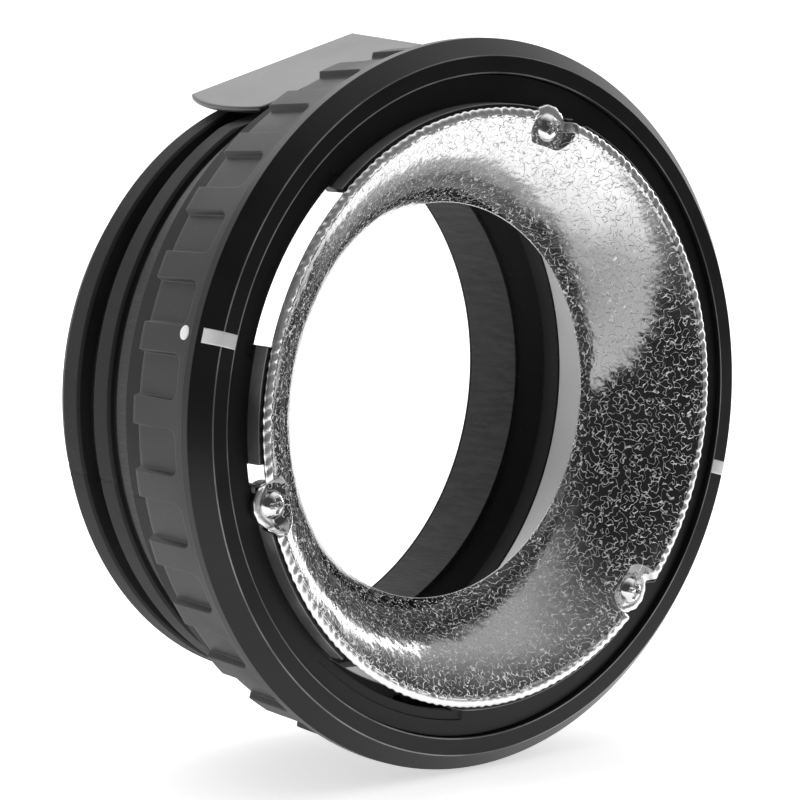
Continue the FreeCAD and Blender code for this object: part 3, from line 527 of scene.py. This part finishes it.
def bezel():
    """The front ring: a flat face, a cone outside it, and fine bright breaks on its edges."""
    outline = rounded([
        (BEZEL_BORE, FLANGE_FACE - 1.2), (BEZEL_BORE, FRONT), (BEZEL_FACE_RADIUS, FRONT),
        (BEZEL_RADIUS, CONE_FOOT), (BEZEL_RADIUS, BEZEL_BACK), (FLANGE_RIM + 0.2, BEZEL_BACK),
        (FLANGE_RIM + 0.2, FLANGE_FACE - 1.2),
    ], 0.22)
    turned("bezel_ring_turned", "bezel_ring", outline, 480)


def index_bars():
    """Two white bars that cross the bezel's face and cone: a thin strip, bent over the edge between them."""
    proud, sunk, half_width = 0.04, 0.2, 1.35
    path = np.array([(BEZEL_BORE + 0.25, FRONT), (BEZEL_FACE_RADIUS - 0.1, FRONT),
                     (BEZEL_FACE_RADIUS + 0.1, FRONT - 0.08), (BAR_END_RADIUS, FRONT - 2.7)])
    outline = np.concatenate([path + (-sunk / 2, -sunk), (path + (proud / 2, proud))[::-1]])
    across = np.linspace(-half_width, half_width, 9)
    for index, angle in enumerate((BAR_ANGLE, BAR_ANGLE + 180)):
        points = tangent(angle, across[None, :], outline[:, :1], outline[:, 1:])
        piece(f"index_bar_{index}", points, True, False, "index_bars", caps=True)


def flange():
    """The mouth plate: a stepped ring, six arcs of raised lip between the gaps, and a boss under each screw."""
    angle = np.linspace(0, 360, 1440, endpoint=False)[None, :]
    outline = rounded([
        (NOTCH_RADIUS, FLANGE_BACK), (FLANGE_RIM, FLANGE_BACK), (FLANGE_RIM, FLANGE_BACK + 0.8),
        (FLANGE_RIM - 1.0, FLANGE_BACK + 0.8), (FLANGE_RIM - 1.0, FLANGE_FACE),
        (STEP_RADIUS + 0.1, FLANGE_FACE), (STEP_RADIUS - 0.1, FLANGE_FACE), (NOTCH_RADIUS, FLANGE_FACE),
    ], 0.12)
    radius, height = outline[:, :1], outline[:, 1:]
    step_depth, half_step = 0.4, STEP_WIDTH / 2
    lowered = np.zeros_like(angle)
    for centre in NOTCH_CENTRES:
        off = np.abs(angle_off(angle, centre))
        lowered = np.maximum(lowered, ease(-off, -half_step - 0.15, -half_step + 0.15))
    in_step = ease(-radius, -STEP_RADIUS - 0.06, -STEP_RADIUS + 0.06) * (height > FLANGE_BACK + 1)
    height = height - step_depth * lowered * in_step
    piece("flange_ring", lathe(radius, angle, height), True, True, "bayonet_flange")

    gaps = [(centre - NOTCH_WIDTH / 2, centre + NOTCH_WIDTH / 2) for centre in NOTCH_CENTRES]
    gaps += [(centre - SLIVER_OFFSET - SLIVER_WIDTH / 2, centre - SLIVER_OFFSET + SLIVER_WIDTH / 2)
             for centre in SCREW_ANGLES]
    gaps.sort()
    starts = [gap[1] for gap in gaps]
    stops = [gap[0] for gap in gaps[1:]] + [gaps[0][0] + 360]
    foot, shelf = NOTCH_RADIUS + 0.3, FLANGE_FACE - 0.05
    lip = rounded([(LIP_INNER, FLANGE_BACK), (foot, FLANGE_BACK), (foot, shelf), (LIP_OUTER, shelf),
                   (LIP_OUTER, LIP_TOP), (LIP_INNER, LIP_TOP)], 0.16)
    for index, (start, stop) in enumerate(zip(starts, stops)):
        angle = np.linspace(start, stop, int((stop - start) / 0.4) + 2)[None, :]
        radius, height = lip[:, :1], lip[:, 1:]
        distance = np.full((len(lip), angle.shape[1]), np.inf)
        for centre in SCREW_ANGLES:
            off = np.radians(angle_off(angle, centre))
            distance = np.minimum(distance, np.hypot(radius * np.cos(off) - SCREW_CIRCLE, radius * np.sin(off)))
        floor = np.minimum(height, SEAT_FRONT - 0.85)
        height = height + (floor - height) * (1 - ease(distance, SEAT_RADIUS + 0.25, SEAT_RADIUS + 0.6))
        piece(f"flange_lip_{index}", lathe(radius, angle, height), True, False, "bayonet_flange", caps=True)

    boss = rounded([(0, FLANGE_BACK), (BOSS_RADIUS, FLANGE_BACK), (BOSS_RADIUS, BOSS_TOP), (0, BOSS_TOP)], 0.15)
    boss[:, 0] = np.maximum(boss[:, 0], 0)
    turn = np.radians(np.linspace(0, 360, 48, endpoint=False))[None, :]
    across = boss[:, :1] * np.sin(turn)
    outward = np.maximum(SCREW_CIRCLE + boss[:, :1] * np.cos(turn), BOSS_NEAREST)
    for index, centre in enumerate(SCREW_ANGLES):
        points = tangent(centre, across, outward, boss[:, 1:])
        piece(f"flange_boss_{index}", points, True, True, "bayonet_flange")


# ---------------------------------------------------------------- reflector and its screws

def arc_between(start, end, count):
    """Points on the dish's curve from one (r, z) to another: an arc that bulges toward the optical axis."""
    start, end = np.array(start), np.array(end)
    chord = end - start
    length = np.hypot(*chord)
    outward = np.array([chord[1], -chord[0]]) / length
    outward *= np.sign(outward[0])
    centre = (start + end) / 2 + outward * math.sqrt(DISH_CURVE ** 2 - (length / 2) ** 2)
    first, last = (math.atan2(*(point - centre)[::-1]) for point in (start, end))
    turn = np.linspace(first, last, count)
    return centre + DISH_CURVE * np.stack([np.cos(turn), np.sin(turn)], axis=1)


def dish():
    """The embossed dish.

    Its outline runs up the back on an arc, round a rolled bead at the rim and down the front on a second arc,
    so the wall flares like a bell's mouth. The bead is crimped like rope by a sine that runs round it. Near
    each screw the wall sinks to a flat seat, and the rim reaches outwards along a circle round the screw.
    """
    back_rows, bead_rows, front_rows = 12, 18, 80
    sheet = 0.8
    angle = np.linspace(0, 360, 800, endpoint=False)[None, :]
    back = arc_between((DISH_APERTURE + sheet, DISH_BACK + 0.05), (55.7, 61.2), back_rows)
    bead_turn = np.radians(np.linspace(-135, 158, bead_rows))
    bead = np.stack([BEAD_RADIUS + BEAD_WIDE * np.cos(bead_turn), BEAD_HEIGHT + BEAD_TALL * np.sin(bead_turn)],
                    axis=1)
    front = arc_between((54.5, 62.45), (DISH_APERTURE, DISH_BACK), front_rows)
    outline = np.concatenate([back, bead, front])
    radius = np.broadcast_to(outline[:, :1], (len(outline), angle.shape[1])).copy()
    height = np.broadcast_to(outline[:, 1:], radius.shape).copy()
    on_bead = np.zeros((len(outline), 1))
    on_bead[back_rows:back_rows + bead_rows] = 1.0
    # which face of the sheet a row is on, from -1 behind to 1 in front, and its turn round the bead
    side = np.concatenate([-np.ones(back_rows), np.sin(bead_turn), np.ones(front_rows)])[:, None]
    swing = np.concatenate([np.zeros(back_rows), bead_turn, np.zeros(front_rows)])[:, None]

    twist = np.sin(np.radians(angle * 173) + 1.6 * swing + 0.9 * np.sin(np.radians(angle * 11)))
    uneven = 0.5 + 0.5 * np.sin(np.radians(angle * 37) + 1.3 * np.sin(np.radians(angle * 5)))
    crimp_depth = 0.15
    crimp = crimp_depth * twist * (0.4 + 0.6 * uneven) * on_bead
    radius += crimp * np.cos(swing)
    height += crimp * 0.8 * np.sin(swing) - 0.05 * on_bead * uneven

    # slow unevenness of the front wall, none at its two edges
    reach = np.linspace(1, 0, front_rows)[:, None]
    across_wall = np.concatenate([np.zeros((back_rows + bead_rows, 1)), reach])
    waves = np.sin(np.radians(angle * 19) + 2.5) * 0.02 + np.sin(np.radians(angle * 7) + 2.1) * 0.03
    height += waves * np.sin(np.pi * across_wall)

    near_rim = np.concatenate([ease(np.linspace(0, 1, back_rows), 0.7, 1.0), np.ones(bead_rows),
                               ease(np.linspace(1, 0, front_rows), 0.8, 1.0)])[:, None]
    for centre in SCREW_ANGLES:
        off = np.radians(angle_off(angle, centre))
        inside = np.maximum(SEAT_RADIUS ** 2 - (SCREW_CIRCLE * np.sin(off)) ** 2, 0)
        ear = SCREW_CIRCLE * np.cos(off) + np.sqrt(inside) - sheet / 2
        shift = np.maximum(ear - (BEAD_RADIUS + BEAD_WIDE), 0) * (np.abs(np.degrees(off)) < 6)
        radius = radius + shift * near_rim
        distance = np.hypot(radius * np.cos(off) - SCREW_CIRCLE, radius * np.sin(off))
        sunk = 1 - ease(distance, SEAT_RADIUS - 0.35, SEAT_RADIUS + 0.75)
        seat = SEAT_MIDDLE + 0.38 * side  # a little thinner than the sheet, to stay inside the CAD's seat
        height = height + (np.minimum(seat, height) - height) * sunk
    piece("reflector_spun", lathe(radius, angle, height), True, True, "reflector")


def dome_screws():
    """Domed screws with a cross recess: a spherical cap, less a cross whose arms have sloping walls."""
    head_radius, head_height = 2.75, 1.7
    arm_side, arm_end, cross_depth = (0.28, 0.46), (1.25, 1.62), 0.85
    curve = (head_radius ** 2 + head_height ** 2) / (2 * head_height)
    reach = np.concatenate([np.linspace(0, 1.9, 34), np.linspace(2.0, head_radius, 8)])[:, None]
    turn = np.linspace(0, 360, 120, endpoint=False)[None, :]
    for index, (centre, lean) in enumerate(zip(SCREW_ANGLES, (28.0, 12.0, 61.0))):
        across = reach * np.cos(np.radians(turn))
        along = reach * np.sin(np.radians(turn))
        cap = SEAT_FRONT + head_height - curve + np.sqrt(curve ** 2 - reach ** 2) + 0 * turn
        cos, sin = math.cos(math.radians(lean)), math.sin(math.radians(lean))
        first = np.abs(across * cos + along * sin)
        second = np.abs(along * cos - across * sin)
        arm = np.maximum((1 - ease(first, *arm_side)) * (1 - ease(second, *arm_end)),
                         (1 - ease(second, *arm_side)) * (1 - ease(first, *arm_end)))
        hub = 1 - ease(reach, 0.45, 0.85) + 0 * turn
        top = cap - cross_depth * np.maximum(arm, hub)
        base = np.full_like(top[:1], SEAT_FRONT - 0.05)
        rows = np.concatenate([base, base, top[::-1]])
        spread = np.concatenate([np.zeros((1, 1)), np.full((1, 1), head_radius), reach[::-1]])
        points = tangent(centre, spread * np.sin(np.radians(turn)),
                         SCREW_CIRCLE + spread * np.cos(np.radians(turn)), rows)
        piece(f"dome_screw_{index}", points, False, True, "reflector_screws")


# ---------------------------------------------------------------- grip ring

def grip():
    """The grip ring: a cone whose outside is let down in rounded recesses that run out of its rear edge.

    A recess is where a rounded rectangle's signed distance, measured round and along the cone, is negative.
    """
    mean_radius, corner, recess_depth = 67.5, 2.0, 1.25
    pitch = 360 / RECESS_COUNT
    arc = math.radians(pitch) * mean_radius
    across = np.concatenate([
        np.linspace(-6.8, -4.8, 4), np.linspace(-4.55, -3.55, 9), np.linspace(-3.3, -1.8, 5),
        np.linspace(-0.9, 0.9, 3), np.linspace(1.8, 3.3, 5), np.linspace(3.55, 4.55, 9),
        np.linspace(4.8, 6.5, 3),
    ])
    offset = across / arc * pitch
    angle = (RECESS_ANGLE + np.add.outer(np.arange(RECESS_COUNT) * pitch, offset)).reshape(1, -1)
    outer_height = np.concatenate([
        [GRIP_BACK, GRIP_BACK + 0.08, GRIP_BACK + 0.3], np.linspace(39, 48.4, 8), np.linspace(48.7, 51.8, 17),
        [52.3, 52.8, GRIP_FRONT - 0.5, GRIP_FRONT - 0.12, GRIP_FRONT],
    ])
    drop = np.zeros_like(outer_height)
    drop[[0, 1, -2, -1]] = (0.3, 0.08, 0.1, 0.45)
    outer_radius_at = GRIP_FRONT_RADIUS - (GRIP_FRONT - outer_height) * GRIP_FLARE - drop
    inner = np.array([
        (63.75, GRIP_FRONT), (63.7, GRIP_FRONT - 0.1), (63.7, 45.6), (63.6, 45.5), (61.3, 45.5), (61.2, 45.4),
        (61.2, GRIP_BACK + 0.1), (61.3, GRIP_BACK), (62.4, GRIP_BACK),
    ])
    radius = np.concatenate([outer_radius_at, inner[:, 0]])[:, None]
    height = np.concatenate([outer_height, inner[:, 1]])[:, None]
    sideways = angle_off(angle, RECESS_ANGLE) % pitch
    sideways = np.minimum(sideways, pitch - sideways) / pitch * arc
    over_side = sideways - (RECESS_HALF_WIDTH - corner)
    over_front = height - (RECESS_FRONT - corner)
    distance = np.hypot(np.maximum(over_side, 0), np.maximum(over_front, 0)) - corner
    distance = distance + np.minimum(np.maximum(over_side, over_front), 0)
    depth = recess_depth * (1 - ease(distance, -0.28, 0.28))
    outside = np.concatenate([np.ones(len(outer_height)), np.zeros(len(inner))])[:, None]
    piece("grip_ring_moulded", lathe(radius - depth * outside, angle, height), True, True, "grip_ring")


def grip_dot():
    """A white dot let into the grip ring: a shallow cap."""
    reach = np.array([0, 0.5, 0.9, 1.15, 1.3, 1.35, 1.35])[:, None]
    lift = np.array([0.16, 0.155, 0.14, 0.11, 0.06, 0.0, -0.4])[:, None]
    turn = np.radians(np.linspace(0, 360, 48, endpoint=False))[None, :]
    surface = GRIP_FRONT_RADIUS - (GRIP_FRONT - DOT_HEIGHT) * GRIP_FLARE
    across = reach * np.cos(turn)
    along = reach * np.sin(turn)
    points = tangent(DOT_ANGLE, across, surface + lift + GRIP_FLARE * along, DOT_HEIGHT + along)
    piece("index_dot_cap", points[::-1], False, True, "index_dot")


# ---------------------------------------------------------------- rear: collar, lining, hoop, tube, band

def pocketed(radius, height, angle):
    """The collar's outside let down to flat pocket floors: under the lever, and round the clamp's lugs.

    A floor is a plane across the radius at its centre, so its distance from the axis there grows as one over
    the cosine of the angle from that centre.
    """
    widest = 1.2
    # each pocket: its centre, its reach to both sides along the tangent, its floor, and its lower and upper end
    for centre, left, right, floor, low, high in (
        (LEVER_ANGLE, -15.0, 37.0, 57.4, 14.0, 21.6),
        (LUG_ANGLE, -19.0, 13.5, 56.0, 3.8, 18.4),
    ):
        off = np.radians(angle_off(angle, centre))
        across = -floor * np.tan(np.clip(off, -widest, widest))
        plane = floor / np.cos(np.clip(off, -widest, widest))
        inside = (across > left) & (across < right) & (np.abs(off) < widest) & (height > low) & (height < high)
        radius = np.where(inside, np.minimum(radius, plane), radius)
    return radius


def collar():
    """The rubber collar: three ribs with softened edges and a moulding seam, and two pockets for the clamp.

    Its outline runs up the outside from the rear mouth, over the ribs, and back down the bore. The seam is a
    groove along one angle, a bell curve across.
    """
    outline = rounded([
        (50.0, 0), (54.6, 0), (57.6, 4.7), (58.1, 5.2), (58.1, 9.2), (57.6, 9.7), (54.5, 9.7), (54.5, 15.6),
        (58.7, 15.6), (59.2, 16.1), (59.2, 20.1), (58.7, 20.6), (57.6, 20.6), (57.6, 30.3), (62.5, 30.3),
        (63.0, 30.8), (63.0, 37.7), (62.0, 37.7), (62.0, 36.05), (60.6, 36.05), (60.6, 34.65), (56.15, 34.65),
        (56.15, 21.6), (54.8, 21.6), (54.8, 17.5), (50.85, 14.0), (50.85, 0.6), (50.0, 0.6),
    ], 0.3, steps=3)
    angle = np.linspace(0, 360, 840, endpoint=False)[None, :]
    radius, height = outline[:, :1], outline[:, 1:]
    in_mouth = radius < 54.0
    in_head_pocket = (radius < 62.1) & (height > 34.6)
    in_bore = (radius < 56.3) & (height > 16.0)
    outside = ~(in_mouth | in_head_pocket | in_bore)
    seam_depth, seam_width = 0.22, 0.22
    seam = seam_depth * np.exp(-(angle_off(angle, SEAM_ANGLE) / seam_width) ** 2)
    worked = np.where(outside, pocketed(radius, height, angle) - seam, radius)
    piece("rubber_collar_moulded", lathe(worked, angle, height), True, True, "rubber_collar")


def rear_rings():
    """The plain rings behind the grip, each a turned outline with softened edges."""
    turned("collar_lining", "collar_liner", rounded([
        (50.0, 0.6), (50.85, 0.6), (50.85, 14.0), (50.0, 14.0),
    ], 0.2))
    turned("hoop_strap", "collar_hoop", rounded([
        (57.6, 21.8), (58.3, 21.8), (58.3, 25.6), (57.6, 25.6),
    ], 0.15))
    turned("body_tube_turned", "body_tube", rounded([
        (TUBE_BORE, 21.9), (TUBE_OUTSIDE, 21.9), (TUBE_OUTSIDE, 50.2), (59.6, 50.2), (59.6, 51.0),
        (TUBE_BORE, 51.0),
    ], 0.15), 420)


def hoop_ear():
    """The hoop's crimped ear: a rounded hump across the strap, with a waist pinched in its middle."""
    half_length, hump, waist = 2.6, 1.6, 0.35
    along = np.linspace(-half_length, half_length, 29)[None, :]
    lift = hump * (1 - ease(np.abs(along), 1.2, half_length)) - waist * np.exp(-(along / 0.5) ** 2)
    section = np.array([
        (58.25, 21.85), (58.35, 22.0), (58.35, 25.4), (58.25, 25.55), (57.9, 25.55), (57.9, 21.85),
    ])
    top = (section[:, :1] > 58.0).astype(float)
    points = tangent(EAR_ANGLE, along, section[:, :1] + lift * top, section[:, 1:])
    piece("hoop_ear", points, True, False, "collar_hoop", caps=True)


def lever_cover():
    """The lever's metal cover: a plate with sharp corners, a curved far end and thin breaks on its edges.

    Its outline is drawn in toward the middle for every level of the edge, and the whole leans forward.
    """
    left, back, plane = -7.8, 0.6, 60.3
    length, width, thick = 42.3, 20.6, 1.2
    curve, tilt, edge = 19.5, math.radians(4.85), 0.2
    end_turn = math.asin(width / 2 / curve)
    turn = np.linspace(end_turn, -end_turn, 40)
    end = np.stack([-curve * (np.cos(turn) - math.cos(end_turn)), width / 2 + curve * np.sin(turn)], axis=1)
    side = np.linspace(0.02, 0.98, 20)[:, None]
    near = side * (length, 0)
    right = np.array([length, 0]) + side * (0, width)
    far = np.array([length, width]) + side * (-length, 0)
    outline = np.concatenate([end, [(0.0, 0.0)], near, [(length, 0.0)], right, [(length, width)], far])
    middle = np.array([length / 2, width / 2])
    inset = np.array([8.0, 3.0, 1.2, edge, 0, 0, edge, 0.6, 1.2, 3.0, 8.0])[:, None]
    level = np.array([0, 0, 0, 0, edge, thick - edge, thick, thick, thick, thick, thick])[:, None]
    run = middle[0] + (outline[:, 0] - middle[0])[None, :] * (1 - inset / (length / 2))
    rise = middle[1] + (outline[:, 1] - middle[1])[None, :] * (1 - inset / (width / 2))
    outward = plane + level * math.cos(tilt) - rise * math.sin(tilt)
    forward = back + level * math.sin(tilt) + rise * math.cos(tilt)
    made = piece("lever_cover", tangent(LEVER_ANGLE, left + run, outward, forward), False, True, "lever_plate")
    work = bmesh.new()
    work.from_mesh(made.data)
    bmesh.ops.holes_fill(work, edges=[rim for rim in work.edges if rim.is_boundary])
    bmesh.ops.recalc_face_normals(work, faces=work.faces)
    work.to_mesh(made.data)
    work.free()


def dress_cad_nodes():
    """Every CAD node that still shows takes the material of its slot."""
    for name, node in frame["nodes"].items():
        node.data.materials.clear()
        node.data.materials.append(MATERIALS[SLOT_OF[name]])


# ---------------------------------------------------------------- floor, light, camera

VIEW_ANGLE = 41.3
VIEW_RISE = 7.1
VIEW_DISTANCE = 750.0
AIM_LEFT = 0.263 * BEZEL_BORE
AIM_UP = 0.023 * BEZEL_BORE


def view_axes():
    """The camera's right, up and backward directions."""
    turn, rise = math.radians(VIEW_ANGLE), math.radians(VIEW_RISE)
    right = Vector((math.cos(turn), -math.sin(turn), 0))
    back = Vector((-math.sin(turn) * math.cos(rise), -math.cos(turn) * math.cos(rise), math.sin(rise)))
    return right, back.cross(right), back


def camera():
    """A long lens that looks at the ring's front from its left and from a little above it."""
    right, up, back = view_axes()
    data = bpy.data.cameras.new("camera")
    data.sensor_width = 36.0
    data.lens = 179.8
    data.clip_start = 0.01
    data.clip_end = 20.0
    made = bpy.data.objects.new("camera", data)
    target = Vector((0, -FRONT, 0))
    place = (target - right * AIM_LEFT + up * AIM_UP + back * VIEW_DISTANCE) * MM
    turn = Matrix((right, up, back)).transposed().to_4x4()
    made.matrix_world = Matrix.Translation(place) @ turn
    bpy.context.scene.collection.objects.link(made)
    bpy.context.scene.camera = made


def soft_light(name, place, target, size, power):
    """A rectangular soft box that looks from one place to another, in metres and watts."""
    data = bpy.data.lights.new(name, "AREA")
    data.shape = "RECTANGLE"
    data.size, data.size_y = size
    data.energy = power
    made = bpy.data.objects.new(name, data)
    made.location = place
    made.rotation_euler = (Vector(target) - Vector(place)).to_track_quat("-Z", "Y").to_euler()
    bpy.context.scene.collection.objects.link(made)


def studio():
    """A pale floor, a bright surround that darkens behind the camera and toward a flag, and two soft boxes.

    The floor stops short in front of the ring, so that the dish has little of it to reflect.
    """
    flag_direction = (0.655, -0.746, -0.124)
    near_edge, far_edge, floor_height = -0.2, 6, cad_box[0][2]
    mesh = bpy.data.meshes.new("floor")
    mesh.from_pydata([(-far_edge, near_edge, floor_height), (far_edge, near_edge, floor_height),
                      (far_edge, far_edge, floor_height), (-far_edge, far_edge, floor_height)],
                     [], [(0, 1, 2, 3)])
    floor = bpy.data.objects.new("floor", mesh)
    bpy.context.scene.collection.objects.link(floor)
    material, tree, shader = new_material("floor_white")
    shader.inputs["Base Color"].default_value = grey(0.9)
    shader.inputs["Roughness"].default_value = 0.8
    shader.inputs["Specular IOR Level"].default_value = 0.0
    shader.inputs["Emission Color"].default_value = grey(1.0)
    shader.inputs["Emission Strength"].default_value = 0.6
    mesh.materials.append(material)

    world = bpy.data.worlds.new("surround")
    bpy.context.scene.world = world
    world.use_nodes = True
    tree = world.node_tree
    back = view_axes()[2]
    direction = add(tree, "ShaderNodeTexCoord").outputs["Generated"]
    facing, flag = (
        add(tree, "ShaderNodeVectorMath", {"operation": "DOT_PRODUCT"}, i0=direction, i1=way).outputs["Value"]
        for way in (tuple(back), flag_direction))
    bright = math_node(tree, "MINIMUM", between(tree, facing, 0.05, 0.8, 1.0, 0.05),
                       between(tree, flag, 0.5, 0.9, 1.0, 0.12))
    background = tree.nodes["Background"]
    tree.links.new(bright, background.inputs["Color"])
    background.inputs["Strength"].default_value = 1.05

    soft_light("overhead_box", (0.2, 0.5, 0.8), (0, -0.03, 0), (1.1, 0.9), 4.0)
    soft_light("right_box", (0.9, -0.12, 0.2), (0, -0.05, 0), (0.12, 0.5), 1.2)
    bpy.context.scene.view_settings.view_transform = "Standard"


bezel()
index_bars()
flange()
dish()
dome_screws()
grip()
grip_dot()
collar()
rear_rings()
hoop_ear()
lever_cover()
dress_cad_nodes()
studio()
camera()
